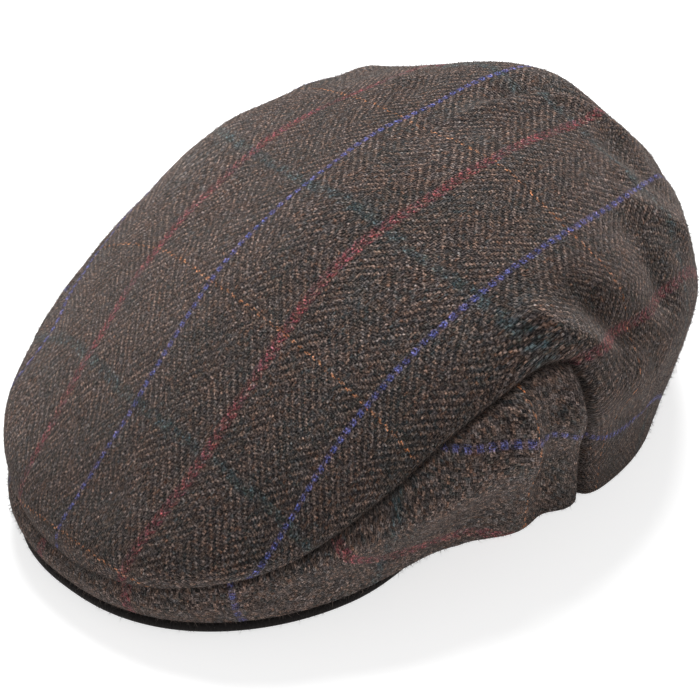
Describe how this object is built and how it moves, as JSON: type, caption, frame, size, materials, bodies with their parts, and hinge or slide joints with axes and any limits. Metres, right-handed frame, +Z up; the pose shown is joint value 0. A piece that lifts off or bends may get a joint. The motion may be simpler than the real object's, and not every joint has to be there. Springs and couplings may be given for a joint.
{
  "type": "flat cap",
  "caption": "Soft flat cap of checked herringbone tweed, with side panels and a short covered peak.",
  "frame": {"origin": "on the resting surface, under the middle of the cap's outline", "axes": "+Z up from the resting surface, -Y towards the peak, +X towards the wearer's left"},
  "size_m": [0.2059, 0.2826, 0.1115],
  "materials": {
    "tweed": "brown herringbone wool with a windowpane check",
    "peak_cloth": "dark wool over a stiff board"
  },
  "bodies": {
    "root": {"crown_top": "tweed", "side_panel_left": "tweed", "side_panel_right": "tweed", "peak": "peak_cloth"}
  },
  "joints": []
}
